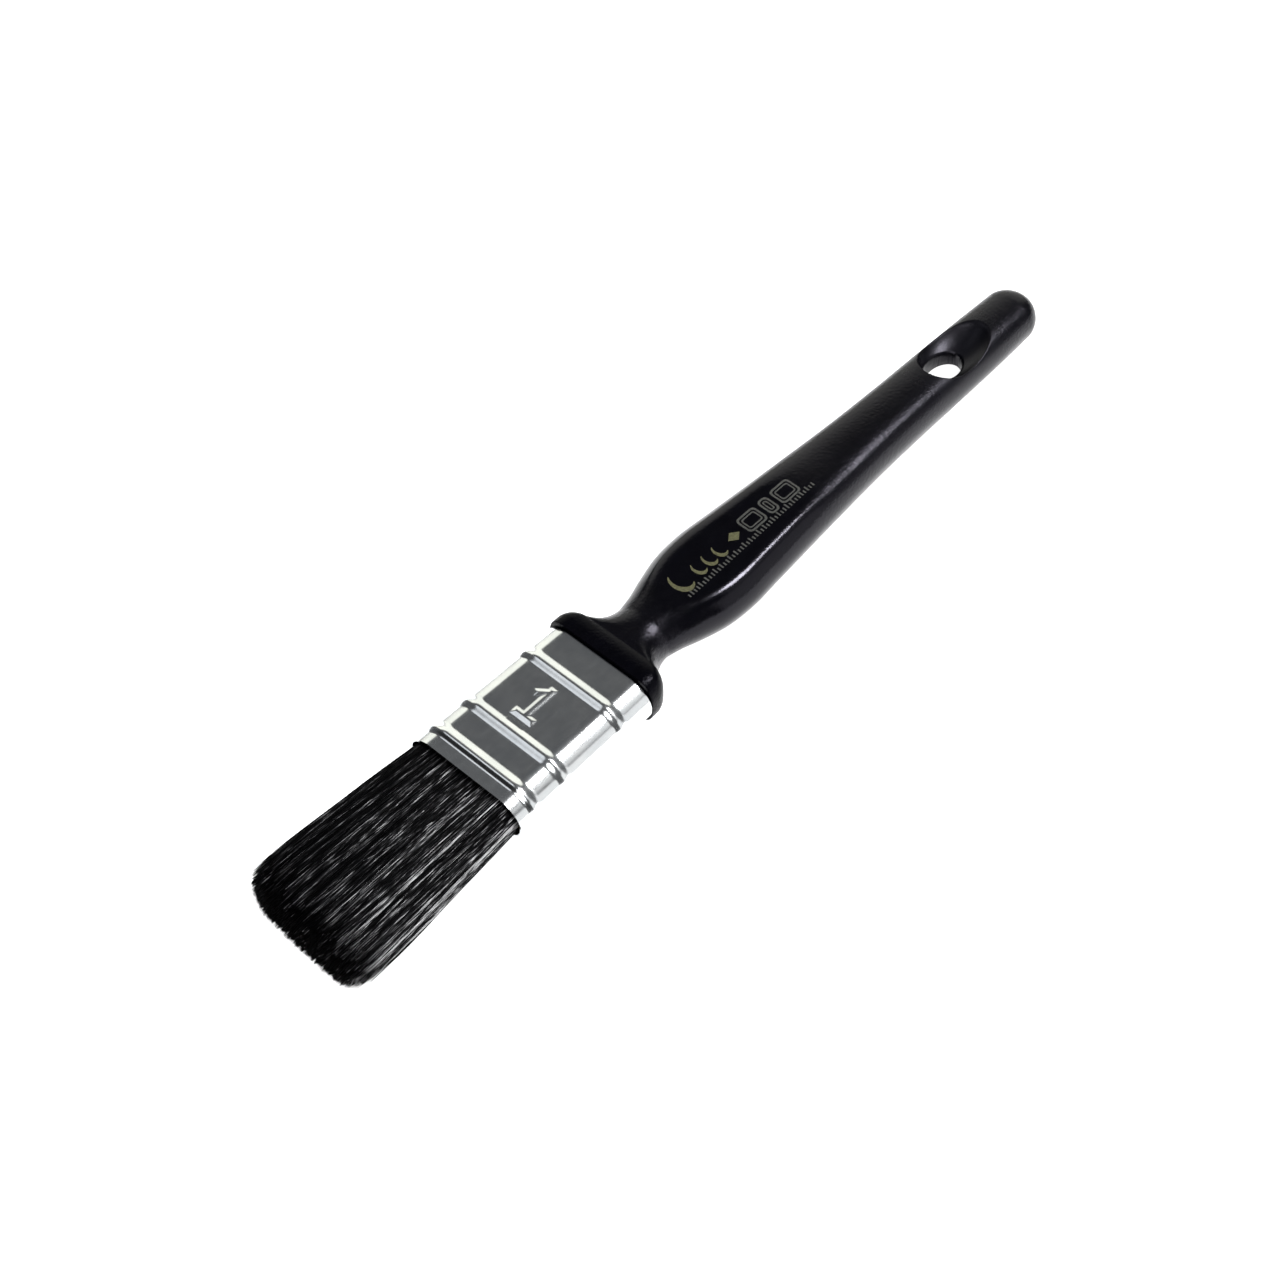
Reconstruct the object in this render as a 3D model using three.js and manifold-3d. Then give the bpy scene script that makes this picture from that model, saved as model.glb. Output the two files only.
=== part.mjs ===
// A flat one inch paint brush, lying on its back on a bench.
// Millimetres. X runs across the brush, Y along it from bristle tips to handle end, Z up from the bench.
// Inside the brush group, Y = 0 is the ferrule's mouth and Z = 0 is the brush's middle plane.
import * as THREE from "three";
import { mergeVertices } from "three/addons/utils/BufferGeometryUtils.js";
import Module from "manifold-3d";

const wasm = await Module();
wasm.setup();

// Driving dimensions
const BRISTLE_REACH = 41.2; // bristles beyond the ferrule's mouth
const HANDLE_END = 162.7; // mouth to the far end of the handle
const REST_HALF_THICKNESS = 5.6; // middle plane down to the bench, at the collar and at the label flats
const FERRULE = { length: 34.5, mouthHalfWidth: 13.6, endHalfWidth: 12.9, halfThickness: 4.7, wall: 0.5 };
const FERRULE_SIDE = { start: 2.6, squareness: 2.3, crown: 0.8 }; // rounded, between faces pressed flat
const SQUARENESS = 2.7; // of the collar's narrow sides: 2 would be a half oval, and more is boxier
const GAP = 0.3; // between pieces that are formed round each other
const PIN_GAP = 0.1; // round the machine-made pins
const SIDE_STEPS = 14; // facets on each narrow side

// Raised beads that are rolled into the ferrule: crest, reach before and after the crest, and height
const BEADS = [
  { crest: 3.7, before: 1.25, after: 2.2, height: 0.5 },
  { crest: 11.8, before: 1.6, after: 1.95, height: 0.4 },
  { crest: 26.7, before: 1.5, after: 2, height: 0.4 },
];
const BEAD_SIDE_SHARE = 0.6; // of a bead's height that is left at the narrow sides
const BEAD_STEPS = 3; // on each slope
const PLAIN_STEPS = 2;

// The size number pressed out of the ferrule's front face
const NUMERAL = { x: -0.7, baseY: 15, height: 8.6, stroke: 1.4, relief: 0.25, baseWidth: 4.8 };
const NUMERAL_FLAG = { length: 3.2, angle: 0.72 };
const SEAM = { width: 3.6, relief: 0.3 };

// What fills the ferrule, from the mouth inwards
const RESIN = { start: 9, end: 21.7 };
const TENON_START = RESIN.end + GAP;
const PLUG = { start: 2, end: 13.7, halfWidth: 8, bulge: 0.6, mouthHalfThickness: 0.8, rootHalfThickness: 1.2 };

// Handle: collar, then the grip as half width, distance from the mouth, and half thickness before its flats
const COLLAR = { start: FERRULE.length + GAP, rim: 1.6, halfWidth: 12.8, bulge: 4.2, round: 3.6 };
const NECK = { y: 46.5, halfWidth: 6.4, halfThickness: 5.1 };
const GRIP = [
  [7.1, 50, 5.7],
  [8.3, 54, 6.6],
  [9.8, 60, 7.35],
  [10.25, 66, 7.4],
  [9.7, 74, 7.25],
  [8.9, 84, 7.15],
  [7.95, 96, 7.05],
  [7.15, 108, 7.0],
  [6.7, 121, 6.7],
  [6.45, 135, 6.3],
  [6.2, 148, 6.0],
];
const TIP = { y: 157.1, halfWidth: 5.9, halfThickness: 5.8 };
const COLLAR_TAPER = 0.35; // how much less the collar rounds off in thickness than in width
const COLLAR_STEP = 0.01; // length of the flat step between tenon and collar
const COLLAR_TURN = 0.36 * Math.PI; // angle that the rounded edge turns through
const COLLAR_STEPS = 5;
const SHOULDER_START = 0.3; // radians along its quarter oval, where the hollow shoulder leaves the collar
const SHOULDER_STEPS = 8;
const GRIP_STEPS = 38;
const TIP_STEPS = 7;

// Hanging hole: an oval through the handle, at the ferrule end of a dish scooped into each flat
const HOLE = { y: 135.4, halfWidth: 3.2, halfLength: 5, segments: 28 };
const DISH = { y: 140.6, height: 7.6, halfWidth: 7.2, halfLength: 11.2, depth: 5.6, tilt: 0.28 };

// Bristle pack outside the ferrule: distance from the mouth, half width, half thickness
const BRISTLE_STATIONS = [
  [0.5, 12.4, 3.85],
  [-6, 12.8, 4.3],
  [-14, 13.2, 4.75],
  [-24, 13.7, 5.15],
  [-33, 14, 5.4],
  [-36.5, 14, 5.4],
  [-38.8, 13.3, 5.2],
  [-40.4, 11.8, 4.6],
  [-BRISTLE_REACH, 9.4, 3.5],
];
const BRISTLE_BULGE_SHARE = 0.32; // of the pack's half width
const BRISTLE_SQUARENESS = 2.3;

// Nails through the back of the ferrule into the handle's tenon
const PIN = {
  x: 6.4,
  y: 31.2,
  shankRadius: 0.7,
  headRadius: 1.4,
  headThickness: 0.45,
  length: 4.2,
  segments: 18,
};

const FINISH = {
  handle: { color: 0x0b0b10, roughness: 0.22, metalness: 0 },
  ferrule: { color: 0xc9cdd0, roughness: 0.16, metalness: 1 },
  pin: { color: 0xb4b8bb, roughness: 0.3, metalness: 1 },
  bristle: { color: 0x0c0c0e, roughness: 0.5, metalness: 0 },
  resin: { color: 0xb98a3e, roughness: 0.35, metalness: 0 },
  plug: { color: 0xc7a877, roughness: 0.8, metalness: 0 },
};

// --- Lofted shapes -------------------------------------------------------------------------------

// A closed outline across the brush: two flats joined by bulging sides, anticlockwise from the bristle end.
// The crown is how much taller the sides would stand if the flats didn't cut them off at a crease.
function outline({ y, halfWidth, halfThickness, bulge, squareness = SQUARENESS, crown = 0 }) {
  const depth = Math.min(bulge, halfWidth - 0.4);
  const power = 2 / squareness;
  const fullHeight = halfThickness + crown;
  const crease = Math.asin((halfThickness / fullHeight) ** (1 / power));
  const points = [];
  for (const side of [1, -1]) {
    for (let step = 0; step <= SIDE_STEPS; step++) {
      const angle = ((2 * step) / SIDE_STEPS - 1) * crease;
      const x = halfWidth - depth + depth * Math.max(Math.cos(angle), 0) ** power;
      const z = fullHeight * Math.sign(angle) * Math.abs(Math.sin(angle)) ** power;
      points.push(new THREE.Vector3(side * x, y, side * z));
    }
  }
  return points;
}

// A round or oval section, as the grip has.
function oval(y, halfWidth, halfThickness) {
  return outline({ y, halfWidth, halfThickness, bulge: halfWidth, squareness: 2 });
}

// A closed solid skinned over outlines listed in order of rising Y.
function loft(outlines) {
  const size = outlines[0].length;
  const points = outlines.flat();
  const first = points.length;
  for (const end of [outlines[0], outlines[outlines.length - 1]]) {
    points.push(end.reduce((sum, p) => sum.add(p), new THREE.Vector3()).divideScalar(size));
  }
  const faces = [];
  for (let k = 0; k < size; k++) {
    const next = (k + 1) % size;
    const last = (outlines.length - 1) * size;
    faces.push(first, k, next);
    faces.push(first + 1, last + next, last + k);
    for (let row = 0; row < last; row += size) {
      faces.push(row + k, row + size + k, row + next);
      faces.push(row + next, row + size + k, row + size + next);
    }
  }
  const geometry = new THREE.BufferGeometry().setFromPoints(points);
  geometry.setIndex(faces);
  return geometry;
}

// --- Joining and cutting -------------------------------------------------------------------------

function solid(geometry) {
  const bare = geometry.clone();
  bare.deleteAttribute("normal");
  bare.deleteAttribute("uv");
  const merged = mergeVertices(bare, 1e-4);
  return new wasm.Manifold(
    new wasm.Mesh({
      numProp: 3,
      vertProperties: new Float32Array(merged.attributes.position.array),
      triVerts: new Uint32Array(merged.index.array),
    }),
  );
}

function geometryOf(body) {
  const mesh = body.getMesh();
  const geometry = new THREE.BufferGeometry();
  geometry.setAttribute("position", new THREE.BufferAttribute(mesh.vertProperties, 3));
  geometry.setIndex(new THREE.BufferAttribute(mesh.triVerts, 1));
  geometry.computeVertexNormals();
  return geometry;
}

// A box between two corners.
function block([x0, y0, z0], [x1, y1, z1]) {
  const geometry = new THREE.BoxGeometry(x1 - x0, y1 - y0, z1 - z0);
  return solid(geometry.translate((x0 + x1) / 2, (y0 + y1) / 2, (z0 + z1) / 2));
}

// --- Ferrule -------------------------------------------------------------------------------------

// How far the sheet stands out at a distance from the mouth.
function beadRise(y) {
  let rise = 0;
  for (const { crest, before, after, height } of BEADS) {
    const across = (y - crest) / (y < crest ? before : after);
    if (Math.abs(across) < 1) rise = height * Math.cos((across * Math.PI) / 2) ** 2;
  }
  return rise;
}

// Stations along the ferrule: close together over each bead and few between them.
function ferruleStations() {
  const stations = [0];
  for (const { crest, before, after } of BEADS) {
    const last = stations.at(-1);
    const run = crest - before - last;
    for (let i = 1; i < PLAIN_STEPS; i++) stations.push(last + (run * i) / PLAIN_STEPS);
    for (let i = -BEAD_STEPS; i <= BEAD_STEPS; i++) {
      stations.push(crest + ((i < 0 ? before : after) * i) / BEAD_STEPS);
    }
  }
  stations.push(FERRULE.length);
  return stations;
}

function ferruleHalfWidth(y) {
  return THREE.MathUtils.mapLinear(y, 0, FERRULE.length, FERRULE.mouthHalfWidth, FERRULE.endHalfWidth);
}

// The ferrule's section where a bead rises by so much, at an inset from its outer face.
function ferruleOutline(y, rise, inset) {
  const halfWidth = ferruleHalfWidth(y) + rise * BEAD_SIDE_SHARE - inset;
  const halfThickness = FERRULE.halfThickness + rise - inset;
  const { start, squareness, crown } = FERRULE_SIDE;
  return outline({ y, halfWidth, halfThickness, bulge: halfWidth - start, squareness, crown });
}

function sleeve(inset, overrun) {
  const stations = ferruleStations();
  stations[0] -= overrun;
  stations[stations.length - 1] += overrun;
  return solid(loft(stations.map((y) => ferruleOutline(y, beadRise(y), inset))));
}

// A plain figure one: stem, slanted flag and base bar, standing proud of the front face.
function numeral() {
  const { x, baseY, height, stroke, relief, baseWidth } = NUMERAL;
  const bottom = FERRULE.halfThickness - FERRULE.wall / 2;
  const top = FERRULE.halfThickness + relief;
  const stem = block([x - stroke / 2, baseY, bottom], [x + stroke / 2, baseY + height, top]);
  const base = block([x - baseWidth / 2, baseY, bottom], [x + baseWidth / 2, baseY + stroke, top]);
  const flag = new THREE.BoxGeometry(NUMERAL_FLAG.length, stroke, top - bottom);
  flag.translate(-NUMERAL_FLAG.length / 2, 0, 0);
  flag.rotateZ(NUMERAL_FLAG.angle);
  flag.translate(x + stroke / 4, baseY + height - stroke / 2, (bottom + top) / 2);
  return stem.add(base).add(solid(flag));
}

function seam() {
  const bottom = -FERRULE.halfThickness - SEAM.relief;
  const top = -FERRULE.halfThickness + FERRULE.wall / 2;
  return block([-SEAM.width / 2, 0, bottom], [SEAM.width / 2, FERRULE.length, top]);
}

function pinHole(x) {
  const radius = PIN.shankRadius + PIN_GAP;
  const length = PIN.length + FERRULE.wall;
  const hole = new THREE.CylinderGeometry(radius, radius, length, PIN.segments);
  hole.rotateX(Math.PI / 2);
  return solid(hole.translate(x, PIN.y, -FERRULE.halfThickness - PIN_GAP + length / 2 - FERRULE.wall));
}

function ferruleGeometry() {
  const sheet = sleeve(0, 0).add(numeral()).add(seam());
  const hollow = sleeve(FERRULE.wall, 1);
  return geometryOf(sheet.subtract(hollow).subtract(pinHole(-PIN.x)).subtract(pinHole(PIN.x)));
}

// The outline of whatever fills the ferrule at a distance from the mouth.
function filling(y) {
  return ferruleOutline(y, 0, FERRULE.wall + GAP);
}

// --- Handle --------------------------------------------------------------------------------------

function collarOutline(y, inset) {
  return outline({
    y,
    halfWidth: COLLAR.halfWidth - inset,
    halfThickness: REST_HALF_THICKNESS - inset * COLLAR_TAPER,
    bulge: COLLAR.bulge - inset * COLLAR_TAPER,
  });
}

// The tenon that fills the ferrule's end, and the collar with its rounded back edge.
function tenonAndCollar() {
  const rings = [filling(TENON_START), filling(COLLAR.start - COLLAR_STEP), collarOutline(COLLAR.start, 0)];
  for (let step = 0; step <= COLLAR_STEPS; step++) {
    const angle = (step / COLLAR_STEPS) * COLLAR_TURN;
    const y = COLLAR.start + COLLAR.rim + COLLAR.round * Math.sin(angle);
    rings.push(collarOutline(y, COLLAR.round * (1 - Math.cos(angle))));
  }
  return rings;
}

// A hollow curve that sweeps from the collar's rounded edge in to the neck.
function shoulder() {
  const start = tenonAndCollar().at(-1);
  const startY = start[0].y;
  const wide = Math.max(...start.map((p) => p.x));
  const thick = Math.max(...start.map((p) => p.z));
  const rings = [];
  for (let step = 1; step <= SHOULDER_STEPS; step++) {
    const angle = THREE.MathUtils.lerp(SHOULDER_START, Math.PI / 2, step / SHOULDER_STEPS);
    const inward = THREE.MathUtils.mapLinear(Math.sin(angle), Math.sin(SHOULDER_START), 1, 0, 1);
    const left = Math.cos(angle) / Math.cos(SHOULDER_START); // share of the way back to the collar
    const halfWidth = THREE.MathUtils.lerp(wide, NECK.halfWidth, inward);
    rings.push(
      outline({
        y: NECK.y - (NECK.y - startY) * left,
        halfWidth,
        halfThickness: THREE.MathUtils.lerp(thick, NECK.halfThickness, inward),
        bulge: THREE.MathUtils.lerp(COLLAR.bulge, halfWidth, inward ** 2),
        squareness: THREE.MathUtils.lerp(SQUARENESS, 2, inward),
      }),
    );
  }
  return rings;
}

function grip() {
  const neck = [NECK.halfWidth, NECK.y, NECK.halfThickness];
  const tip = [TIP.halfWidth, TIP.y, TIP.halfThickness];
  const path = new THREE.CatmullRomCurve3([neck, ...GRIP, tip].map((p) => new THREE.Vector3(...p)));
  const rings = path.getSpacedPoints(GRIP_STEPS).slice(1);
  return rings.map((p) => oval(p.y, p.x, p.z));
}

function roundedTip() {
  const rings = [];
  for (let step = 1; step < TIP_STEPS; step++) {
    const angle = (step / TIP_STEPS) * (Math.PI / 2);
    const y = TIP.y + (HANDLE_END - TIP.y) * Math.sin(angle);
    rings.push(oval(y, TIP.halfWidth * Math.cos(angle), TIP.halfThickness * Math.cos(angle)));
  }
  rings.push(oval(HANDLE_END, 0.6, 0.5));
  return rings;
}

// One of the two dishes round the hanging hole: side is 1 on the front and -1 on the back.
function dish(side) {
  const scoop = new THREE.SphereGeometry(1, 30, 20);
  scoop.scale(DISH.halfWidth, DISH.halfLength, DISH.depth);
  scoop.rotateX(side * DISH.tilt);
  return solid(scoop.translate(0, DISH.y, side * DISH.height));
}

function hangHole() {
  const shape = new THREE.Shape();
  shape.absellipse(0, 0, HOLE.halfWidth, HOLE.halfLength, 0, Math.PI * 2);
  const depth = REST_HALF_THICKNESS * 4;
  const options = { depth, bevelEnabled: false, curveSegments: HOLE.segments };
  const prism = new THREE.ExtrudeGeometry(shape, options);
  return solid(prism.translate(0, HOLE.y, -depth / 2));
}

function handleGeometry() {
  const body = solid(loft([...tenonAndCollar(), ...shoulder(), ...grip(), ...roundedTip()]));
  const flats = block([-30, 0, -REST_HALF_THICKNESS], [30, HANDLE_END + 1, REST_HALF_THICKNESS]);
  const cuts = [dish(1), dish(-1), hangHole(), pinHole(-PIN.x), pinHole(PIN.x)];
  return geometryOf(cuts.reduce((left, cut) => left.subtract(cut), body.intersect(flats)));
}

// --- Bristles, resin, plug and pins --------------------------------------------------------------

function plugSolid(grow) {
  const section = (y, halfThickness) =>
    outline({
      y,
      halfWidth: PLUG.halfWidth + grow,
      halfThickness: halfThickness + grow,
      bulge: PLUG.bulge + grow,
    });
  const mouthEnd = section(PLUG.start - grow, PLUG.mouthHalfThickness);
  const rootEnd = section(PLUG.end + grow, PLUG.rootHalfThickness);
  return solid(loft([mouthEnd, rootEnd]));
}

function resinGeometry() {
  const body = solid(loft([filling(RESIN.start), filling(RESIN.end)]));
  return geometryOf(body.subtract(plugSolid(GAP)));
}

// Half of the bristles, above or below the middle plane, hollowed where the plug parts them.
function bristleGeometry(side) {
  const tips = [...BRISTLE_STATIONS].reverse().map(([y, halfWidth, halfThickness]) =>
    outline({
      y,
      halfWidth,
      halfThickness,
      bulge: halfWidth * BRISTLE_BULGE_SHARE,
      squareness: BRISTLE_SQUARENESS,
    }),
  );
  const roots = filling(RESIN.start - GAP);
  const half = block([-30, -60, GAP / 2], [30, 60, 30]);
  const keep = side > 0 ? half : half.mirror([0, 0, 1]);
  return geometryOf(solid(loft([...tips, roots])).intersect(keep).subtract(plugSolid(GAP)));
}

// A round-headed nail, with its point up inside the tenon.
function pinGeometry() {
  const { shankRadius, headRadius, headThickness, length, segments } = PIN;
  const profile = [
    [0, -headThickness],
    [headRadius * 0.6, -headThickness],
    [headRadius, -headThickness * 0.3],
    [headRadius, 0],
    [shankRadius, 0],
    [shankRadius, length - shankRadius * 2],
    [0, length],
  ];
  const nail = new THREE.LatheGeometry(profile.map(([r, h]) => new THREE.Vector2(r, h)), segments);
  return nail.rotateX(Math.PI / 2);
}

// --- Assembly ------------------------------------------------------------------------------------

function piece(name, geometry, finish) {
  const mesh = new THREE.Mesh(geometry, new THREE.MeshStandardMaterial(finish));
  mesh.name = name;
  return mesh;
}

function pin(name, x) {
  const mesh = piece(name, pinGeometry(), FINISH.pin);
  mesh.position.set(x, PIN.y, -FERRULE.halfThickness - PIN_GAP);
  return mesh;
}

const brush = new THREE.Group();
brush.add(
  piece("handle", handleGeometry(), FINISH.handle),
  piece("ferrule", ferruleGeometry(), FINISH.ferrule),
  piece("bristle_pack_front", bristleGeometry(1), FINISH.bristle),
  piece("bristle_pack_back", bristleGeometry(-1), FINISH.bristle),
  piece("resin_setting", resinGeometry(), FINISH.resin),
  piece("reservoir_plug", geometryOf(plugSolid(0)), FINISH.plug),
  pin("ferrule_pin_left", -PIN.x),
  pin("ferrule_pin_right", PIN.x),
);
brush.position.set(0, (BRISTLE_REACH - HANDLE_END) / 2, REST_HALF_THICKNESS);

const part = new THREE.Group();
part.add(brush);

export default part;
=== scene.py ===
"""Looks for a flat one inch paint brush that lies on its back.

Shapes are made in millimetres in the brush's own axes: X across, Y from the ferrule's mouth towards
the handle, Z out of the front face from the middle plane. place() then puts them in the frame, in
metres.
"""

import math

import bpy
import numpy as np
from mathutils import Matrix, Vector


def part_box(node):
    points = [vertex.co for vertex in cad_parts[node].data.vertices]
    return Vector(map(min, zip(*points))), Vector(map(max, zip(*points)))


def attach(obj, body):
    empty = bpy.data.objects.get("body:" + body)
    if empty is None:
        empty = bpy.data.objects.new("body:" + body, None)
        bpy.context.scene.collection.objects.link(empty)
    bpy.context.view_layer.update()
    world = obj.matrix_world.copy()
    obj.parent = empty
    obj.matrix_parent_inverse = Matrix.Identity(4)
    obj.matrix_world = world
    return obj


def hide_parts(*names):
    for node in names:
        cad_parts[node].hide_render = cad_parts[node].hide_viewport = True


MM = 0.001
SEED = 20

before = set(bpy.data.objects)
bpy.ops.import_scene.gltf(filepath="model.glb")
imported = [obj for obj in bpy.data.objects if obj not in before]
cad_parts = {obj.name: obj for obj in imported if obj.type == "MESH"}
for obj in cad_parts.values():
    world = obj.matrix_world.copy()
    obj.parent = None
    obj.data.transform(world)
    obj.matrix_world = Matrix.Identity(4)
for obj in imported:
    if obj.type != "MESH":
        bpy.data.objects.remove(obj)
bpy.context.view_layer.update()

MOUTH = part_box("ferrule")[0].y
MIDDLE = (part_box("handle")[0].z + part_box("handle")[1].z) / 2
FLAT = (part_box("handle")[1].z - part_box("handle")[0].z) / 2 / MM  # middle plane to either flat
FERRULE_LENGTH = (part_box("ferrule")[1].y - MOUTH) / MM
HANDLE_END = (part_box("handle")[1].y - MOUTH) / MM
REACH = (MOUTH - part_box("bristle_pack_front")[0].y) / MM
SHARP_EDGE = math.radians(40)  # an edge that turns more than this isn't shaded as smooth

# Ferrule sheet
MOUTH_HALF_WIDTH = 13.6
END_HALF_WIDTH = 12.9
HALF_THICKNESS = 4.7
SIDE = {"start": 2.6, "half_height": 5.5, "power": 2.3}  # before the faces are pressed flat
FACE_EDGE = 7.6  # half the width of the face's flat part
FACE_POINTS, SIDE_POINTS = 105, 30
FACE_CREASE = 0.25  # how softly the pressed faces meet the sides
WALL = 0.4
# Beads: distance of the crest from the mouth, width before and after the crest, height
BEADS = [(3.7, 1.15, 2.2, 0.5), (11.8, 1.6, 1.95, 0.4), (26.7, 1.5, 2.0, 0.4)]
BEAD_SIDE_SHARE = 0.6  # of a bead's height that is left at the narrow sides
NUMERAL = {
    "x": -0.7,
    "base": 15.0,
    "top": 23.6,
    "stroke": 1.4,
    "serif": 2.4,
    "flag": 3.0,
    "flag_angle": 0.72,
    "flag_overlap": 0.3,
    "flag_stroke_share": 0.8,
    "relief": 0.2,
    "softness": 0.45,
}
UNDERLINE = {
    "y": 13.8,
    "start": -2.7,
    "end": 0.9,
    "half_width": 0.3,
    "relief": 0.05,
    "softness": 0.4,
}
FINE_STEP, PLAIN_STEP = 0.16, 0.4  # between rings on the beads and the figures, and elsewhere
INSIDE_EVERY = 4  # of the outer rings, how many to one ring of the inside
SEAM = {"half_width": 1.8, "relief": 0.3, "softness": 0.12}
PINS = [(-6.4, 31.2), (6.4, 31.2)]
DIMPLE = {"depth": 0.25, "reach": 1.9}  # round each pin

# Handle
COLLAR = {
    "start": FERRULE_LENGTH + 0.3,
    "ease": 0.25,
    "rim": 1.6,
    "half_width": 12.8,
    "bulge": 4.2,
    "round": 3.6,
}
COLLAR_TAPER = 0.35  # how much its rounding takes off its thickness, against its width
COLLAR_TURN = 0.36 * math.pi  # how far its edge is rounded before the shoulder starts
TENON_SPAN = (22.0, COLLAR["start"] - 0.01)
TENON_INSET = 0.8
TENON_BULGE = 3.6
SHOULDER_START = 0.3  # where on its quarter oval the hollow shoulder takes over from the collar
SQUARENESS = 2.7  # of the tenon's and collar's narrow sides
OVAL = 2.0  # the squareness of a true oval
NECK = (46.5, 6.4, 5.1)  # distance from the mouth, half width, half thickness
GRIP = [  # the same, from the neck to the start of the rounded end
    NECK,
    (50, 7.1, 5.7),
    (54, 8.3, 6.6),
    (60, 9.8, 7.35),
    (66, 10.25, 7.4),
    (74, 9.7, 7.25),
    (84, 8.9, 7.15),
    (96, 7.95, 7.05),
    (108, 7.15, 7.0),
    (121, 6.7, 6.7),
    (135, 6.45, 6.3),
    (148, 6.2, 6.0),
    (157.1, 5.9, 5.8),
]
HOLE = {"y": 135.4, "half_width": 3.2, "half_length": 5.0}
HOLE_EDGE = 0.45  # radius of the hole's eased edge
HOLE_EDGE_LIMIT = 0.9  # of the surface's height, the most that is taken away there
DISH = {
    "y": 140.6,
    "height": 7.6,
    "half_width": 7.2,
    "half_length": 11.2,
    "depth": 5.6,
    "tilt": 0.28,
}
DISH_SPAN = (128.0, 152.5)
NO_DISH = 100.0  # a height that is above everything
CREASE_BLEND = (0.9, 3.2)  # how softly the flats meet the sides, by the print and by the hole
CREASE_CHANGE = (82, 102)  # where the one turns into the other
RIM_BLEND = 0.35  # how softly the surface turns over the rim of a dish
HANDLE_POINTS = 260
RINGS = {"ease": 6, "collar": 16, "shoulder": 32, "tip": 24}
# Between rings: next to the neck's own one, and then before, at and after the dishes
NECK_STEP, GRIP_STEP, DISH_STEP, END_STEP = 0.5, 0.6, 0.2, 0.5
CUTTER = {"points": 96, "half_height": 12.0}
GRIP_SHINE, COLLAR_SHINE = 0.22, 0.05

# Bristle pack: distance from the mouth, half width, half thickness
PACK = [
    (0.5, 12.4, 3.85),
    (-6, 12.8, 4.3),
    (-14, 13.2, 4.75),
    (-24, 13.7, 5.15),
    (-33, 14.0, 5.4),
    (-REACH, 14.0, 5.4),
]
PACK_BULGE_SHARE = 0.32
PACK_SQUARENESS = 2.3
TIP_SHIFT = {"size": 0.4, "power": 1.5}  # how far the tips sit to one side
# How much shorter the outer bristles are, and how suddenly that sets in
TIP_DROP = {"sides": 4.0, "side_power": 10, "faces": 2.2, "face_power": 8, "slant": 0.6}
TIP_RAGGEDNESS = 0.45
# Layers of bristles: count in the whole section, span of depths from 0 in the middle to 1 at the
# surface, where they start, rings in each, lean
LAYERS = [(5000, 0.78, 1.0, 0.4, 13, 0.3), (5200, 0.0, 0.8, -REACH + 7.0, 5, 0.2)]
FILAMENT = {"radius": (0.075, 0.125), "tapered": 0.75, "taper_start": 0.75}
WAVE = {"length": (14, 34), "size": (0.02, 0.14), "growth": 0.5, "depth_share": 0.5}
LEAN_DEPTH_SHARE = 0.3
FLAT_GAP = 0.1  # between the outermost bristles and the plane of the handle's flat
# Tufts carry a painted glint level, mean and spread, that stands in for highlights
TUFTS = {"count": 1300, "lean": 0.32, "short": 0.75, "painted_glint_level": (0.27, 0.2)}
TUFT_GATHER = {"share": 0.45, "start": 0.25}
TUFT_DEPTH_WEIGHT = 0.4
PAINTED_GLINT_SPREAD = 0.17  # spread of the painted glint level between the bristles of one tuft
PAINTED_LIGHT_SLOPE = {"rise": 0.2, "limit": 0.7}  # painted light across the pack: glints rise from the -X side towards +X
# Painted shade at the tips: the painted glints fade out towards them
PAINTED_GLINT_TIP_FADE = {"fall": 0.35, "start": 0.88}
LOOSE = {
    "count": 34,
    "rings": 14,
    "span": 0.97,
    "depth": 0.9,
    "start": (-14, 0.3),
    "end": (-REACH - 0.4, -22),
    "drift": 1.3,
    "drift_growth": 0.4,
    "overhang": 0.8,
    "lift": 0.06,
    "flat_gap": 0.15,
    "radius": 0.085,
    "tapered": 0.7,
    "taper_start": 0.7,
    # stray bristles get a higher painted glint level, a painted highlight
    "painted_glint_level": (0.3, 0.8),
}
CORE = {
    "span": (-REACH + 4.5, 8.0),
    "rings": 60,
    "flat_points": 80,
    "side_points": 30,
    "inset": 0.75,
    "mouth_gain": 0.35,
    "mouth_span": (-3.0, 0.5),
    "end_shrink": 0.25,
    "end_length": 3.5,
}

# Printed ornament: places and sizes on the front flat
PRINT_LIFT = 0.012
PRINT_THICKNESS = 0.02
CURL = {"turn": (-2.5, 0.7), "points": 24, "thinnest": 0.15, "squash": 0.75}
LARGE_CURL = {"x": -0.4, "y": 57.2, "radius": 2.7, "width": 1.15}
SMALL_CURL = {"x": 0.0, "y": 61.7, "radius": 1.7, "width": 0.85}
SMALL_CURLS, SMALL_CURL_PITCH = 3, 2.9
LOZENGE = {"y": 71.6, "half_width": 1.2, "half_length": 1.6, "blunt": 0.02}
BLOCK_SIDES = (-2.3, 1.9)
BLOCK_SPANS = [(74.4, 79.6), (80.5, 83.1), (84.0, 89.2)]
BLOCK_OUTLINES = [(0.0, 0.42), (0.75, 0.3)]  # inset from the block's edge, stroke
BLOCK_CORNER = {"radius": 0.9, "inset_share": 0.5, "points": 6}
HATCH = {"count": 44, "start": 55.2, "pitch": 0.84, "stroke": 0.36, "foot": 3.75, "drift": 0.018}
HATCH_HEIGHTS = (0.8, 1.2, 0.8, 0.95, 1.3)

# Nails: radius, and height over the back face, from the domed head in to the shank's end
NAIL_PROFILE = [
    (0.35, -0.41),
    (0.75, -0.36),
    (1.1, -0.24),
    (1.32, -0.08),
    (1.4, 0.02),
    (1.36, 0.12),
    (0.7, 0.14),
    (0.7, 3.0),
]
NAIL_POINTS = 40

# Studio
STUDIO_LEVEL = 0.095
DARK_END = {"from": -0.55, "to": -0.1, "share": 0.15}  # how much of that is left beyond the tips
FLOOR_HALF = 2.5
FLOOR_GLOW = 0.95
WHITE, CREAM, COOL = (1, 1, 1), (1, 1, 0.9), (0.93, 0.96, 1)
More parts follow.
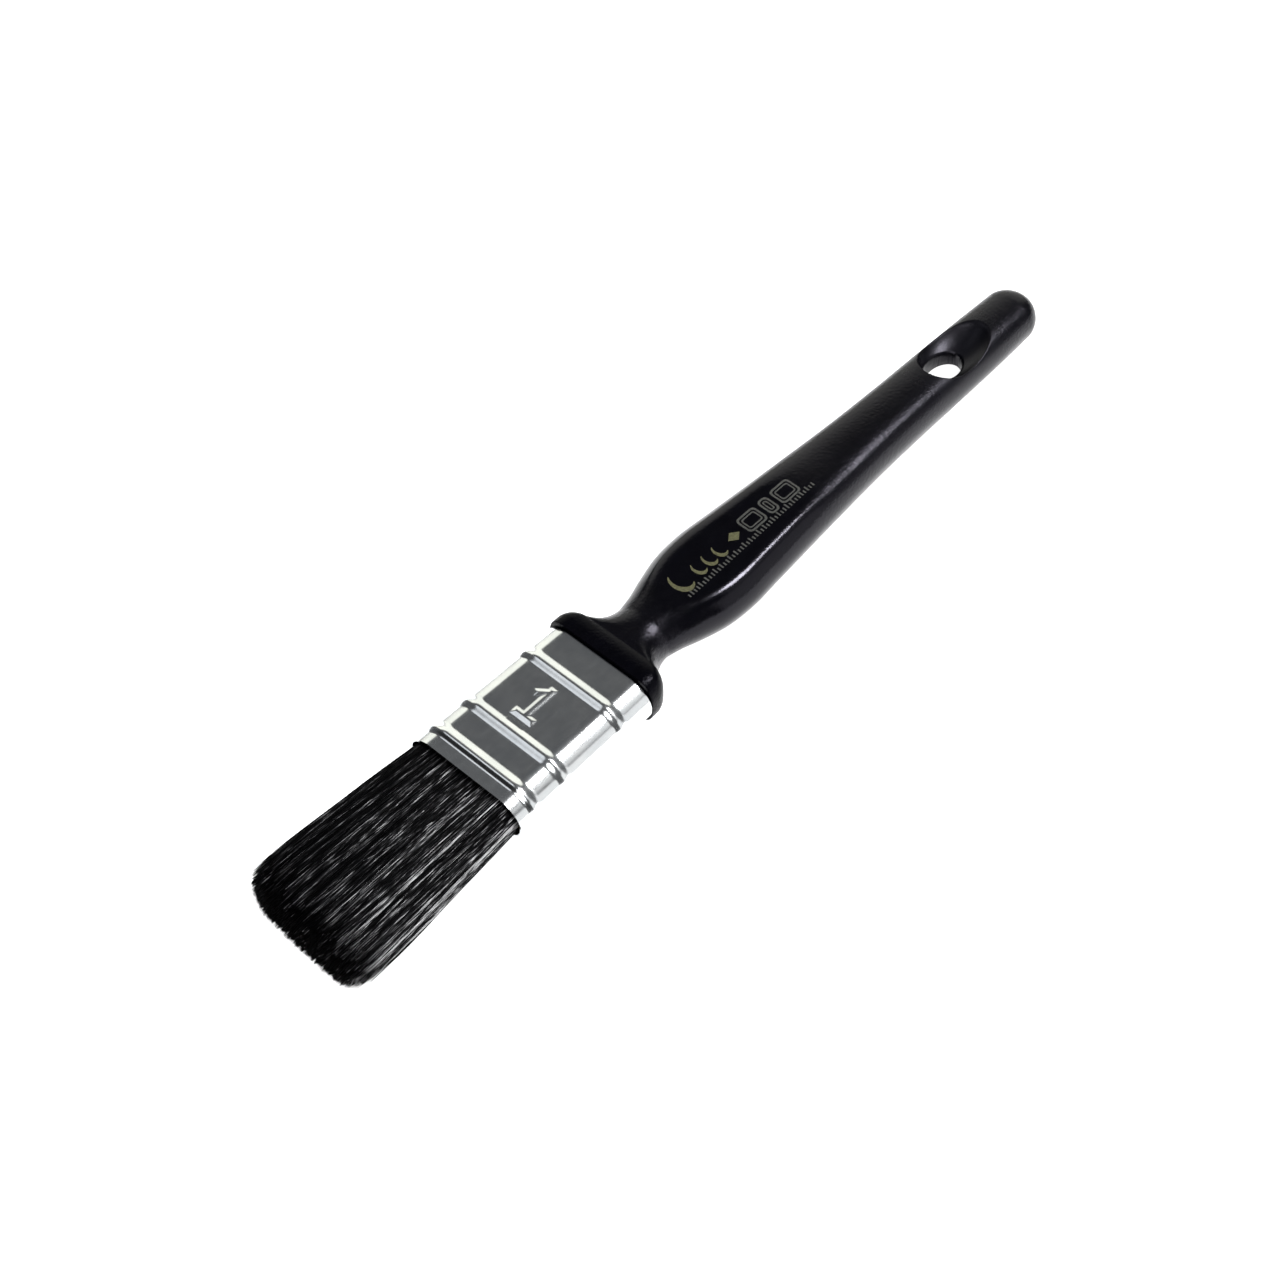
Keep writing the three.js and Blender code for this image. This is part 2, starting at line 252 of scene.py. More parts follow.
# Lights: name, azimuth, elevation, distance, width and height, radiance, colour
LIGHTS = [
    ("key_by_camera", 42, 56, 0.9, (0.45, 0.45), 6.0, WHITE),
    ("panel_back", 221, 22, 0.9, (1.08, 0.58), 1.15, CREAM),
    ("panel_bead", 281, 66, 0.9, (0.48, 0.2), 0.95, COOL),
    ("panel_crease", 163, 62, 0.9, (0.19, 0.13), 1.3, WHITE),
    ("panel_right", 118, 17, 0.9, (0.58, 0.48), 0.92, WHITE),
    ("panel_corner", 130, 42, 0.9, (0.3, 0.24), 0.7, WHITE),
    ("spot_behind", 150, 57, 0.8, (0.18, 0.18), 54.0, WHITE),
]
CAMERA = {
    "azimuth": 42.2,
    "elevation": 52.02,
    "distance": 0.46,
    "aim": (-0.0007, MOUTH + 0.0463, 0.0032),
    "lens": 70.07,
    "sensor": 36,
    "clip": (0.01, 20),
}


# --- Small helpers ---


def place(points):
    """Points in the brush's own millimetres, as points in the frame."""
    return np.asarray(points, float) * MM + np.array([0, MOUTH, MIDDLE])


def new_object(name, data):
    made = bpy.data.objects.new(name, data)
    bpy.context.scene.collection.objects.link(made)
    return made


def mesh_object(name, points, faces):
    """A bare mesh object with its points as they are given."""
    mesh = bpy.data.meshes.new(name)
    mesh.from_pydata(np.asarray(points, float).tolist(), [], faces)
    return new_object(name, mesh)


def add_piece(name, points, faces, material, slot, stands_for=(), smooth=True):
    """A mesh piece of the brush, from points in millimetres."""
    piece = mesh_object(name, place(points), faces)
    mesh = piece.data
    mesh.validate()
    mesh.polygons.foreach_set("use_smooth", [smooth] * len(mesh.polygons))
    mesh.materials.append(material)
    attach(piece, "root")
    if stands_for:
        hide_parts(*stands_for)
    return piece


def smooth_step(low, high, x):
    """0 at low and beyond it, 1 at high and beyond it, and a soft rise between them."""
    t = np.clip((x - low) / (high - low), 0, 1)
    return t * t * (3 - 2 * t)


def smooth_min(a, b, blend):
    """The lower of two heights, rounded off where they cross."""
    overlap = np.maximum(blend - np.abs(a - b), 0) / blend
    return np.minimum(a, b) - overlap**2 * blend / 4


def curve_through(stations, at):
    """Values at some distances, on smooth curves through stations of (distance, value, value)."""
    table = np.array(sorted(stations), float)
    y, values = table[:, 0], table[:, 1:]
    slopes = np.gradient(values, y, axis=0)
    at = np.clip(np.asarray(at, float), y[0], y[-1])
    i = np.clip(np.searchsorted(y, at, side="right") - 1, 0, len(y) - 2)
    h = (y[i + 1] - y[i])[:, None]
    t = ((at - y[i]) / (y[i + 1] - y[i]))[:, None]
    return (
        (2 * t**3 - 3 * t**2 + 1) * values[i]
        + (t**3 - 2 * t**2 + t) * h * slopes[i]
        + (3 * t**2 - 2 * t**3) * values[i + 1]
        + (t**3 - t**2) * h * slopes[i + 1]
    )


def side_profile(count, squareness):
    """Unit (out, up) points down one narrow side, from the top flat to the bottom one."""
    angles = np.linspace(math.pi / 2, -math.pi / 2, count)
    power = 2 / squareness
    out = np.maximum(np.cos(angles), 0) ** power
    up = np.sign(angles) * np.abs(np.sin(angles)) ** power
    return out, up


def ring(half_width, half_thickness, bulge, squareness, flat_points, side_points):
    """X and Z round a closed section: the top flat, the +X side, the bottom flat, the -X side."""
    bulge = min(bulge, half_width)
    flat = np.linspace(-1, 1, flat_points) * (half_width - bulge)
    out, up = side_profile(side_points, squareness)
    right = half_width - bulge + bulge * out[1:-1]
    side_z = half_thickness * up[1:-1]
    x = np.concatenate([flat, right, flat[::-1], -right[::-1]])
    top = np.full(flat_points, half_thickness)
    z = np.concatenate([top, side_z, -top, side_z[::-1]])
    return x, z


def skin(rings, close_ends=True):
    """Points and faces of a surface over rings of equal size, in order of rising Y or Z."""
    count, size = len(rings), len(rings[0])
    points = np.concatenate(rings)
    k = np.arange(size)
    following = (k + 1) % size
    faces = []
    for row in range(count - 1):
        a, b = row * size, (row + 1) * size
        faces += np.stack([a + k, a + following, b + following, b + k], 1).tolist()
    if close_ends:
        faces.append(list(range(size))[::-1])
        faces.append(list(range((count - 1) * size, count * size)))
    return points, faces


def ring_at(section, y):
    """The points of an X and Z section at a distance from the mouth."""
    x, z = section
    return np.stack([x, np.full_like(x, y), z], 1)


def level_oval(x, y, half_width, half_length, height, count):
    """Points round a level oval at a height, anticlockwise seen from above."""
    angles = np.linspace(0, 2 * math.pi, count, endpoint=False)
    across, along = half_width * np.cos(angles), half_length * np.sin(angles)
    return np.column_stack([x + across, y + along, np.full(count, height)])


def joined(shapes):
    """Points and faces of several shapes as one."""
    points, faces, start = [], [], 0
    for shape_points, shape_faces in shapes:
        points.append(shape_points)
        faces += [[start + i for i in face] for face in shape_faces]
        start += len(shape_points)
    return np.concatenate(points), faces


# --- Node materials ---


class Nodes:
    """A short way to write a material's node tree."""

    def __init__(self, name):
        self.material = bpy.data.materials.new(name)
        self.material.use_nodes = True
        self.tree = self.material.node_tree
        self.shader = self.tree.nodes["Principled BSDF"]
        self.coordinates = self.add("ShaderNodeTexCoord").outputs["Object"]

    def add(self, kind, **settings):
        node = self.tree.nodes.new(kind)
        for key, value in settings.items():
            setattr(node, key, value)
        return node

    def link(self, a, b):
        self.tree.links.new(a, b)

    def stretched(self, scale):
        """Object coordinates in millimetres, divided by a grain size on each axis."""
        mapping = self.add("ShaderNodeMapping")
        mapping.inputs["Scale"].default_value = [1 / (MM * s) for s in scale]
        self.link(self.coordinates, mapping.inputs["Vector"])
        return mapping.outputs["Vector"]

    def noise(self, grain, detail=3.0):
        """A noise whose lumps are about the grain's size, in millimetres on each axis."""
        node = self.add("ShaderNodeTexNoise")
        node.inputs["Scale"].default_value = 1.0
        node.inputs["Detail"].default_value = detail
        node.inputs["Roughness"].default_value = 0.55
        self.link(self.stretched(grain), node.inputs["Vector"])
        return node.outputs["Fac"]

    def spread(self, value, low, high, from_low=0.3, from_high=0.7):
        """A value stretched to the range low to high."""
        node = self.add("ShaderNodeMapRange")
        node.inputs["From Min"].default_value = from_low
        node.inputs["From Max"].default_value = from_high
        node.inputs["To Min"].default_value = low
        node.inputs["To Max"].default_value = high
        self.link(value, node.inputs["Value"])
        return node.outputs["Result"]

    def colours(self, value, *stops):
        """A colour ramp: stops are (position, (r, g, b))."""
        node = self.add("ShaderNodeValToRGB")
        ramp = node.color_ramp
        while len(ramp.elements) < len(stops):
            ramp.elements.new(0.5)
        for element, (position, colour) in zip(ramp.elements, stops):
            element.position = position
            element.color = (*colour, 1)
        self.link(value, node.inputs["Fac"])
        return node.outputs["Color"]

    def mottled(self, grain, dark, light):
        """A colour that wanders between two, in lumps of about the grain's size."""
        return self.colours(self.noise(grain), (0.3, dark), (0.7, light))

    def along(self, *stops):
        """A value that changes along the brush: stops are (millimetres from the mouth, value)."""
        axes = self.add("ShaderNodeSeparateXYZ")
        self.link(self.coordinates, axes.inputs["Vector"])
        share = self.spread(axes.outputs["Y"], 0, 1, MOUTH, MOUTH + HANDLE_END * MM)
        greys = [(y / HANDLE_END, (value, value, value)) for y, value in stops]
        return self.colours(share, *greys)

    def math(self, operation, a, b):
        """A sum or product of two values, each a number or another node's output."""
        node = self.add("ShaderNodeMath", operation=operation)
        for socket, value in zip(node.inputs, (a, b)):
            if isinstance(value, (int, float)):
                socket.default_value = value
            else:
                self.link(value, socket)
        return node.outputs[0]

    def bump(self, height, depth):
        """A bump of a depth in millimetres, on top of any earlier one."""
        node = self.add("ShaderNodeBump")
        node.inputs["Strength"].default_value = 1.0
        node.inputs["Distance"].default_value = depth * MM
        self.link(height, node.inputs["Height"])
        earlier = self.shader.inputs["Normal"]
        if earlier.is_linked:
            self.link(earlier.links[0].from_socket, node.inputs["Normal"])
        self.link(node.outputs["Normal"], earlier)

    def set(self, **values):
        """Sets the shader's sockets, each to a value or to another node's output."""
        for key, value in values.items():
            socket = self.shader.inputs[key.replace("_", " ").title().replace("Ior", "IOR")]
            if hasattr(value, "is_output"):
                self.link(value, socket)
            else:
                socket.default_value = value


def black_moulding(name, shine):
    """Black moulding: polished round the print, dull but even in the dishes, grainier elsewhere."""
    n = Nodes(name)
    dullness = n.along(
        (42, 0.22),
        (46, 0.25),
        (56, 0.14),
        (84, 0.14),
        (94, 0.22),
        (124, 0.23),
        (131, 0.33),
        (145, 0.33),
        (152, 0.24),
    )
    n.set(
        base_color=n.mottled((3, 6, 3), (0.0007, 0.0007, 0.0014), (0.0014, 0.0014, 0.0026)),
        roughness=n.math("ADD", dullness, n.spread(n.noise((1.2, 2.2, 1.2)), -0.03, 0.03)),
        specular_ior_level=shine,
        specular_tint=(0.88, 0.85, 1.0, 1),
    )
    coarseness = n.along(
        (46, 0.5),
        (56, 0.15),
        (84, 0.15),
        (94, 0.4),
        (124, 0.4),
        (131, 0.12),
        (145, 0.12),
        (152, 0.5),
    )
    n.bump(n.math("MULTIPLY", coarseness, n.noise((0.55, 0.7, 0.55), detail=4)), 0.16)
    return n.material


def bright_plate():
    """Bright plated sheet: mirror-like, slightly uneven, with fine scratches along the brush."""
    n = Nodes("bright_plated_sheet")
    n.set(
        base_color=n.mottled((5, 5, 5), (0.72, 0.745, 0.76), (0.82, 0.835, 0.84)),
        metallic=1.0,
        roughness=n.spread(n.noise((1.0, 3.5, 1.0), detail=5), 0.16, 0.2),
    )
    n.bump(n.noise((5, 7, 5), detail=1), 0.03)
    n.bump(n.noise((0.12, 3.0, 0.12), detail=2), 0.0015)
    return n.material


def black_filament_painted_glints():
    """Black bristle with painted glints: a noise drawn out along it, plus the bristle's glint
    level.
    """
    n = Nodes("black_filament_painted_glints")
    painted_glint_level = n.add("ShaderNodeAttribute", attribute_name="painted_glint_level").outputs["Fac"]
    painted_glint = n.math("ADD", n.noise((0.22, 5, 0.22), detail=2), n.math("MULTIPLY", painted_glint_level, 0.5))
    n.set(
        # Painted highlight: where the glint is high, the black colour turns grey in streaks
        base_color=n.colours(
            painted_glint,
            (0.55, (0.0008, 0.0008, 0.001)),
            (0.72, (0.004, 0.004, 0.0045)),
            (0.82, (0.035, 0.035, 0.037)),
            (0.9, (0.2, 0.2, 0.206)),
            (1.0, (0.65, 0.65, 0.66)),
        ),
        roughness=n.spread(n.noise((0.5, 5, 0.5)), 0.3, 0.45),
        specular_ior_level=0.02,
    )
    return n.material


def pack_shadow():
    """The dark inside of the bristle pack, ribbed along the bristles."""
    n = Nodes("bristle_depth")
    ribs = n.noise((0.25, 9, 0.25), detail=3)
    n.set(
        base_color=n.colours(
            ribs,
            (0.35, (0.001, 0.001, 0.001)),
            (0.75, (0.005, 0.005, 0.0055)),
        ),
        roughness=n.spread(ribs, 0.55, 0.8),
        specular_ior_level=0.08,
    )
    n.bump(ribs, 0.15)
    return n.material


def plain_steel():
    n = Nodes("nail_steel")
    n.set(
        base_color=n.mottled((0.8, 0.8, 0.8), (0.5, 0.5, 0.5), (0.66, 0.66, 0.65)),
        metallic=1.0,
        roughness=n.spread(n.noise((0.3, 0.3, 0.3)), 0.25, 0.45),
    )
    n.bump(n.noise((0.2, 0.2, 0.2)), 0.01)
    return n.material


def amber_resin():
    n = Nodes("amber_resin")
    n.set(
        base_color=n.mottled((2, 2, 2), (0.32, 0.13, 0.02), (0.5, 0.26, 0.05)),
        roughness=n.spread(n.noise((1, 1, 1)), 0.2, 0.4),
    )
    n.bump(n.noise((0.8, 0.8, 0.8)), 0.05)
    return n.material


def soft_wood():
    n = Nodes("plug_softwood")
    grain = n.noise((6, 0.5, 0.5), detail=5)
    n.set(
        base_color=n.colours(grain, (0.3, (0.4, 0.25, 0.11)), (0.7, (0.6, 0.42, 0.22))),
        roughness=n.spread(grain, 0.65, 0.85),
    )
    n.bump(grain, 0.05)
    return n.material


def ink(name, colour, worn):
    """Pad-printed ink, thin and slightly broken up."""
    n = Nodes(name)
    n.set(
        base_color=n.colours(
            n.noise((0.35, 0.35, 0.35), detail=4),
            (0.35, worn),
            (0.6, colour),
        ),
        roughness=n.spread(n.noise((0.5, 0.5, 0.5)), 0.4, 0.6),
    )
    n.bump(n.noise((0.2, 0.2, 0.2)), 0.004)
    return n.material


# --- Ferrule ---


def ferrule_half_width(y):
    return MOUTH_HALF_WIDTH + (END_HALF_WIDTH - MOUTH_HALF_WIDTH) * y / FERRULE_LENGTH


def bead_rise(y):
    """How far a bead stands out of the sheet at a distance from the mouth."""
    rise = 0.0
    for crest, before, after, height in BEADS:
        across = (y - crest) / (after if y > crest else before)
        if abs(across) < 1:
            rise = height * math.cos(across * math.pi / 2) ** 2
    return rise


def sheet_section(y, inset):
    """The ferrule's section at an inset: two rounded sides, and faces pressed flat between them."""
    power = SIDE["power"]
    rise = bead_rise(y)
    reach = ferrule_half_width(y) + BEAD_SIDE_SHARE * rise - inset - SIDE["start"]
    first = ((FACE_EDGE - SIDE["start"]) / reach) ** (power / 2)
    angle = np.linspace(math.asin(first), math.pi / 2, SIDE_POINTS)
    out = SIDE["start"] + reach * np.sin(angle) ** (2 / power)
    top = HALF_THICKNESS + rise - inset
    full_height = SIDE["half_height"] + rise - inset
    before_pressing = full_height * np.maximum(np.cos(angle), 0) ** (2 / power)
    up = smooth_min(before_pressing, top, FACE_CREASE)
    side_x = np.concatenate([out, out[-2::-1]])
    side_z = np.concatenate([up, -up[-2::-1]])
    flat = np.linspace(-FACE_EDGE, FACE_EDGE, FACE_POINTS)[1:-1]
    face = np.full(len(flat), top)
    x = np.concatenate([flat, side_x, flat[::-1], -side_x[::-1]])
    z = np.concatenate([face, side_z, -face, side_z[::-1]])
    return x, z


def bar_distance(x, y, start, end, half_width):
    """Distance in from the edge of a straight bar: positive inside it, negative outside."""
    (x0, y0), (x1, y1) = start, end
    length = math.hypot(x1 - x0, y1 - y0)
    along = ((x - x0) * (x1 - x0) + (y - y0) * (y1 - y0)) / length
    across = np.abs((x - x0) * (y1 - y0) - (y - y0) * (x1 - x0)) / length
    return np.minimum(half_width - across, np.minimum(along, length - along))


def numeral_relief(x, y):
    """Height of the pressed figure one, and of a plain bar under it, on the front face."""
    half = NUMERAL["stroke"] / 2
    cx, base, top = NUMERAL["x"], NUMERAL["base"], NUMERAL["top"]
    serif, flag, angle = NUMERAL["serif"], NUMERAL["flag"], NUMERAL["flag_angle"]
    stem = bar_distance(x, y, (cx, base), (cx, top), half)
    foot = bar_distance(x, y, (cx - serif, base + half), (cx + serif, base + half), half)
    flag_root = (cx + NUMERAL["flag_overlap"], top - half)
    flag_end = (cx - flag * math.cos(angle), top - half - flag * math.sin(angle))
    slope = bar_distance(x, y, flag_root, flag_end, half * NUMERAL["flag_stroke_share"])
    figure = smooth_step(-NUMERAL["softness"], half, np.maximum.reduce([stem, foot, slope]))
    start, end = (UNDERLINE["start"], UNDERLINE["y"]), (UNDERLINE["end"], UNDERLINE["y"])
    line = bar_distance(x, y, start, end, UNDERLINE["half_width"])
    underline = smooth_step(-UNDERLINE["softness"], UNDERLINE["half_width"], line)
    return NUMERAL["relief"] * figure + UNDERLINE["relief"] * underline


def ferrule_stations():
    """Distances along the ferrule, closer together over the beads and the figures."""
    bead_margin, figure_margin = 0.3, 0.5
    fine = [(UNDERLINE["y"] - UNDERLINE["softness"], NUMERAL["top"] + figure_margin)]
    for crest, before, after, _ in BEADS:
        fine.append((crest - before - bead_margin, crest + after + bead_margin))
    y = [0.0]
    while y[-1] < FERRULE_LENGTH:
        is_fine = any(start < y[-1] < end for start, end in fine)
        y.append(min(y[-1] + (FINE_STEP if is_fine else PLAIN_STEP), FERRULE_LENGTH))
    return y


def ferrule_ring(y, inset):
    """One ring of the sheet, at an inset from its outer face."""
    x, z = sheet_section(y, inset)
    if inset == 0:
        just_inside = HALF_THICKNESS - 0.01
        on_front, on_back = z > just_inside, z < -just_inside
        seam_edge, soft = SEAM["half_width"], SEAM["softness"]
        overlap = SEAM["relief"] * smooth_step(seam_edge + soft, seam_edge - soft, np.abs(x))
        z = z + np.where(on_front, numeral_relief(x, y), 0)
        z = z - np.where(on_back, overlap, 0)
        for pin_x, pin_y in PINS:
            away = np.hypot(x - pin_x, y - pin_y) / DIMPLE["reach"]
            z = z + np.where(on_back, DIMPLE["depth"] * np.exp(-(away**2)), 0)
    return ring_at((x, z), y)


def build_ferrule():
    """The sheet, outside and inside, cut off square at both ends."""
    stations = ferrule_stations()
    between = stations[INSIDE_EVERY:-INSIDE_EVERY:INSIDE_EVERY]
    outer = [ferrule_ring(y, 0) for y in stations]
    inner = [ferrule_ring(y, WALL) for y in [0.0] + between + [FERRULE_LENGTH]]
    rings = outer + inner[::-1]
    points, faces = skin(rings, close_ends=False)
    size = len(rings[0])
    last = (len(rings) - 1) * size
    for k in range(size):
        faces.append([last + k, last + (k + 1) % size, (k + 1) % size, k])
    made = add_piece("ferrule_sheet", points, faces, bright_plate(), "ferrule", ["ferrule"])
    made.data.set_sharp_from_angle(angle=SHARP_EDGE)


# --- Handle ---


def even_ring(half_width, half_thickness, bulge, squareness):
    """A section with points spaced evenly round it, the first at the middle of the top."""
    bulge = min(bulge, half_width - 1e-4)  # which keeps the three points of each flat apart
    x, z = ring(half_width, half_thickness, bulge, squareness, flat_points=3, side_points=181)
    x, z = np.roll(x, -1), np.roll(z, -1)
    x, z = np.append(x, x[0]), np.append(z, z[0])
    length = np.concatenate([[0], np.cumsum(np.hypot(np.diff(x), np.diff(z)))])
    at = np.linspace(0, length[-1], HANDLE_POINTS, endpoint=False)
    return np.interp(at, length, x), np.interp(at, length, z)


def collar_ring(inset):
    return even_ring(
        COLLAR["half_width"] - inset,
        FLAT - inset * COLLAR_TAPER,
        COLLAR["bulge"] - inset * COLLAR_TAPER,
        SQUARENESS,
    )


def tenon_rings():
    for y in TENON_SPAN:
        half_width = ferrule_half_width(y) - TENON_INSET
        section = even_ring(half_width, HALF_THICKNESS - TENON_INSET, TENON_BULGE, SQUARENESS)
        yield ring_at(section, y)


def collar_rings():
    """The collar: a slightly eased front edge, a plain rim and a rounded back edge."""
    start, ease, radius = COLLAR["start"], COLLAR["ease"], COLLAR["round"]
    for turn in np.linspace(0, math.pi / 2, RINGS["ease"]):
        section = collar_ring(ease * (1 - math.sin(turn)))
        yield ring_at(section, start + ease * (1 - math.cos(turn)))
    for turn in np.linspace(0, COLLAR_TURN, RINGS["collar"]):
        section = collar_ring(radius * (1 - math.cos(turn)))
        yield ring_at(section, start + COLLAR["rim"] + radius * math.sin(turn))


def shoulder_rings(start_y):
    """A hollow curve from the collar's rounded edge in to the neck."""
    inset = COLLAR["round"] * (1 - math.cos(COLLAR_TURN))
    wide, thick = COLLAR["half_width"] - inset, FLAT - inset * COLLAR_TAPER
    neck_y, neck_width, neck_thickness = NECK
    first = math.sin(SHOULDER_START)
    for angle in np.linspace(SHOULDER_START, math.pi / 2, RINGS["shoulder"])[1:]:
        inward = (math.sin(angle) - first) / (1 - first)
        half_width = wide + (neck_width - wide) * inward
        section = even_ring(
            half_width,
            thick + (neck_thickness - thick) * inward,
            COLLAR["bulge"] + (half_width - COLLAR["bulge"]) * inward**2,
            SQUARENESS + (OVAL - SQUARENESS) * inward,
        )
        to_neck = (neck_y - start_y) * math.cos(angle) / math.cos(SHOULDER_START)
        yield ring_at(section, neck_y - to_neck)


def grip_rings():
    """Oval sections from the neck to the rounded end, closer together round the dishes."""
    y = np.concatenate(
        [
            np.arange(NECK[0] + NECK_STEP, DISH_SPAN[0], GRIP_STEP),
            np.arange(DISH_SPAN[0], DISH_SPAN[1], DISH_STEP),
            np.arange(DISH_SPAN[1], GRIP[-1][0], END_STEP),
        ]
    )
    for at, (width, thickness) in zip(y, curve_through(GRIP, y)):
        yield ring_at(even_ring(width, thickness, width, OVAL), at)


def tip_rings():
    tip_y, width, thickness = GRIP[-1]
    for angle in np.linspace(0, math.pi / 2, RINGS["tip"])[:-1]:
        shrink = math.cos(angle)
        section = even_ring(width * shrink, thickness * shrink, width * shrink, OVAL)
        yield ring_at(section, tip_y + (HANDLE_END - tip_y) * math.sin(angle))


def dish_floor(x, y):
    """Height of the dish, the underside of a tilted ellipsoid, above the middle plane."""
    tilt, across = DISH["tilt"], y - DISH["y"]
    length, depth = DISH["half_length"], DISH["depth"]
    sin, cos = math.sin(tilt), math.cos(tilt)
    a = sin**2 / length**2 + cos**2 / depth**2
    b = 2 * across * sin * cos * (1 / length**2 - 1 / depth**2)
    sideways = (x / DISH["half_width"]) ** 2
    c = sideways + across**2 * (cos**2 / length**2 + sin**2 / depth**2) - 1
    inside = b**2 - 4 * a * c
    floor = DISH["height"] + (-b - np.sqrt(np.maximum(inside, 0))) / (2 * a)
    return np.where(inside > 0, floor, NO_DISH)


def hole_easing(x, y):
    """How far the surface drops where it turns into the hanging hole."""
    radii = np.hypot(x / HOLE["half_width"], (y - HOLE["y"]) / HOLE["half_length"])
    beyond = (radii - 1) * HOLE["half_width"]
    share = np.clip(1 - beyond / HOLE_EDGE, 0, 1)
    return HOLE_EDGE * (1 - np.sqrt(1 - share**2))


def shaped(section):
    """A section of the grip with its two flats, its two dishes and the eased edge of the hole."""
    x, y, z = section.T
    near, far = CREASE_BLEND
    blend = near + (far - near) * smooth_step(*CREASE_CHANGE, y[0])
    height = smooth_min(np.abs(z), np.full(len(z), FLAT), blend)
    height = smooth_min(height, dish_floor(x, y), RIM_BLEND)
    height = height - np.minimum(hole_easing(x, y), height * HOLE_EDGE_LIMIT)
    return np.stack([x, y, np.sign(z) * height], 1)


def hole_cutter():
    """An oval prism through the handle, with the hanging hole's outline."""
    oval = (0, HOLE["y"], HOLE["half_width"], HOLE["half_length"])
    heights = (-CUTTER["half_height"], CUTTER["half_height"])
    rings = [level_oval(*oval, height, CUTTER["points"]) for height in heights]
    return mesh_object("hole", *skin(rings))


def applied(target):
    """The object's mesh with its modifiers applied, as a new mesh."""
    graph = bpy.context.evaluated_depsgraph_get()
    return bpy.data.meshes.new_from_object(target.evaluated_get(graph))


def cut(body, cutter):
    """Takes the cutter away from the body, and then removes it."""
    modifier = body.modifiers.new("cut", "BOOLEAN")
    modifier.operation = "DIFFERENCE"
    modifier.solver = "EXACT"
    modifier.object = cutter
    body.data = applied(body)
    body.modifiers.clear()
    bpy.data.objects.remove(cutter)


def build_handle():
    """Tenon, collar, neck and flat-sided grip with its dishes, then the hanging hole."""
    collar = list(collar_rings())
    collar_end = collar[-1][0, 1]
    grip = [*shoulder_rings(collar_end), *grip_rings(), *tip_rings()]
    rings = [*tenon_rings(), *collar, *map(shaped, grip)]
    body = mesh_object("handle_body", *skin(rings))
    cut(body, hole_cutter())
    points = np.empty(len(body.data.vertices) * 3)
    body.data.vertices.foreach_get("co", points)
    faces = [list(p.vertices) for p in body.data.polygons]
    bpy.data.objects.remove(body)
    gloss = black_moulding("black_gloss_moulding", GRIP_SHINE)
    made = add_piece("handle_moulding", points.reshape(-1, 3), faces, gloss, "handle", ["handle"])
    made.data.set_sharp_from_angle(angle=SHARP_EDGE)
    made.data.materials.append(black_moulding("black_satin_moulding", COLLAR_SHINE))
    for face in made.data.polygons:
        face.material_index = int(face.center.y < MOUTH + collar_end * MM)


# --- Printed marks ---


def ink_slab(edge_a, edge_b, closed=False):
    """A thin layer of ink on the front flat, between an edge and another one to the left of it."""
    size = len(edge_a)
    layers = [
        np.column_stack([np.array(edge, float), np.full(size, FLAT + height)])
        for height in (PRINT_LIFT + PRINT_THICKNESS, PRINT_LIFT)
        for edge in (edge_a, edge_b)
    ]
    faces = []
    for k in range(size if closed else size - 1):
        j = (k + 1) % size
        faces.append([k, j, size + j, size + k])
        faces.append([2 * size + k, 3 * size + k, 3 * size + j, 2 * size + j])
        faces.append([k, 2 * size + k, 2 * size + j, j])
        faces.append([size + k, size + j, 3 * size + j, 3 * size + k])
    if not closed:
        faces.append([0, size, 3 * size, 2 * size])
        faces.append([size - 1, 3 * size - 1, 4 * size - 1, 2 * size - 1])
    return np.concatenate(layers), faces


def bar(x0, x1, y0, y1):
    return ink_slab([(x1, y0), (x1, y1)], [(x0, y0), (x0, y1)])


def rounded_loop(x0, x1, y0, y1, radius):
    """Points round a rectangle with rounded corners, anticlockwise."""
    left, right = x0 + radius, x1 - radius
    low, high = y0 + radius, y1 - radius
    points = []
    for quarter, (x, y) in enumerate([(right, high), (left, high), (left, low), (right, low)]):
        for turn in np.linspace(0, math.pi / 2, BLOCK_CORNER["points"]):
            angle = quarter * math.pi / 2 + turn
            points.append((x + radius * math.cos(angle), y + radius * math.sin(angle)))
    return points


def block_loop(y0, y1, inset):
    """The edge of a rounded block, at an inset."""
    x0, x1 = BLOCK_SIDES
    radius = BLOCK_CORNER["radius"] - inset * BLOCK_CORNER["inset_share"]
    return rounded_loop(x0 + inset, x1 - inset, y0 + inset, y1 - inset, radius)


def outlined_block(y0, y1, inset, stroke):
    """A line round a rounded block, at an inset from its edge."""
    outer, inner = block_loop(y0, y1, inset), block_loop(y0, y1, inset + stroke)
    return ink_slab(outer, inner, closed=True)


def curl(x, y, radius, width):
    """A crescent stroke that swells and thins again."""
    turn = np.linspace(*CURL["turn"], CURL["points"])
    swell = CURL["thinnest"] + np.sin(np.linspace(0, math.pi, CURL["points"]))
    edges = []
    for reach in (radius + width / 2 * swell, radius - width / 2 * swell):
        across, up = reach * np.cos(turn), CURL["squash"] * reach * np.sin(turn)
        edges.append(np.stack([x + across, y + up], 1))
    return ink_slab(*edges)


def lozenge():
    """Two edges through its left and right corners, which are blunt by a hair."""
    middle, width, length = LOZENGE["y"], LOZENGE["half_width"], LOZENGE["half_length"]
    upper = middle + LOZENGE["blunt"]
    return ink_slab(
        [(-width, middle), (0, middle - length), (width, middle)],
        [(-width, upper), (0, middle + length), (width, upper)],
    )


def hatched_rule():
    """Short bars of changing height, whose feet follow a slightly slanted line."""
    found = []
    for i in range(HATCH["count"]):
        foot = HATCH["foot"] - HATCH["drift"] * i
        height = HATCH_HEIGHTS[i % len(HATCH_HEIGHTS)]
        start = HATCH["start"] + HATCH["pitch"] * i
        found.append(bar(foot - height, foot, start, start + HATCH["stroke"]))
    return found


def joined_print(name, shapes, material):
    add_piece(name, *joined(shapes), material, "handle", smooth=False)


